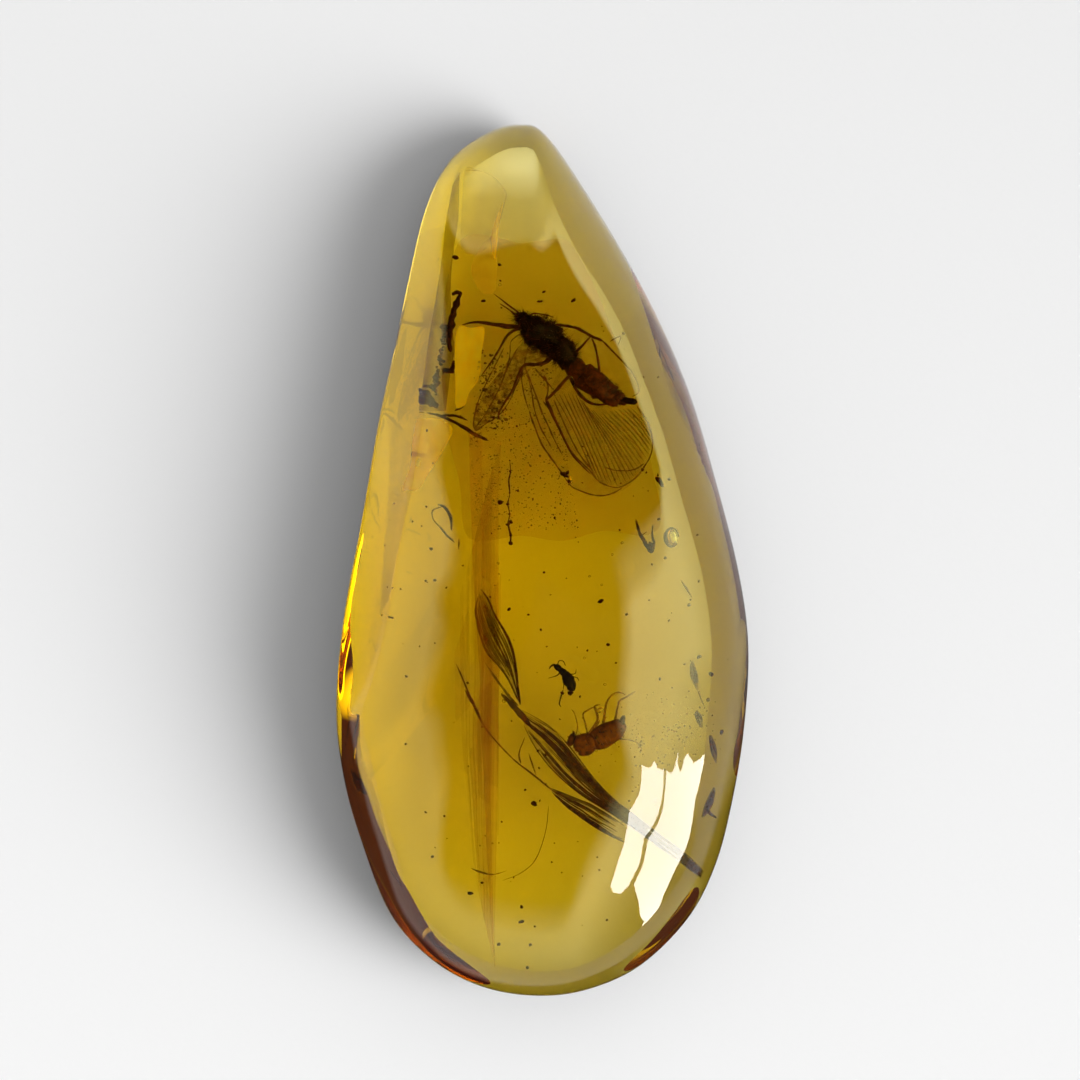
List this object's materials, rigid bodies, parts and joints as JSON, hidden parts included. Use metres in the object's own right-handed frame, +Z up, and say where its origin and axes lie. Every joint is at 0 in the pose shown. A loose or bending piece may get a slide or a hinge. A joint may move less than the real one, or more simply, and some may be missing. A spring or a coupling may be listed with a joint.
{
  "type": "insect in amber",
  "caption": "Polished pear-shaped drop of amber on a ground flat, with a winged insect, smaller insects and plant bits sealed inside.",
  "frame": {"origin": "on the surface that the drop lies on, under the middle of its outline", "axes": "+Y along the drop towards its narrow tip, +Z up out of the domed face, +X to the right seen from above"},
  "size_m": [0.0212, 0.045, 0.01],
  "materials": {
    "amber": "clear yellow-brown fossil resin, polished",
    "dark_chitin": "near-black red insect cuticle with a soft shine",
    "black_chitin": "black insect cuticle with a soft shine",
    "brown_chitin": "translucent red-brown insect cuticle",
    "plant": "dried olive-brown leaf fibres",
    "bark": "rough dark bark and plant crumbs"
  },
  "bodies": {
    "root": {"amber_front": "amber", "amber_back": "amber", "winged_insect": "dark_chitin", "black_insect": "black_chitin", "brown_insect": "brown_chitin", "plant_strip": "plant", "plant_splinter": "plant", "bark_stick": "bark", "bark_crumb": "bark", "bark_chip": "bark", "twig": "bark", "curled_shred": "bark", "forked_shred": "bark", "seed_crumb": "bark", "leaf_flake_1": "plant", "leaf_flake_2": "plant", "leaf_flake_3": "plant", "leaf_flake_4": "plant"}
  },
  "joints": []
}
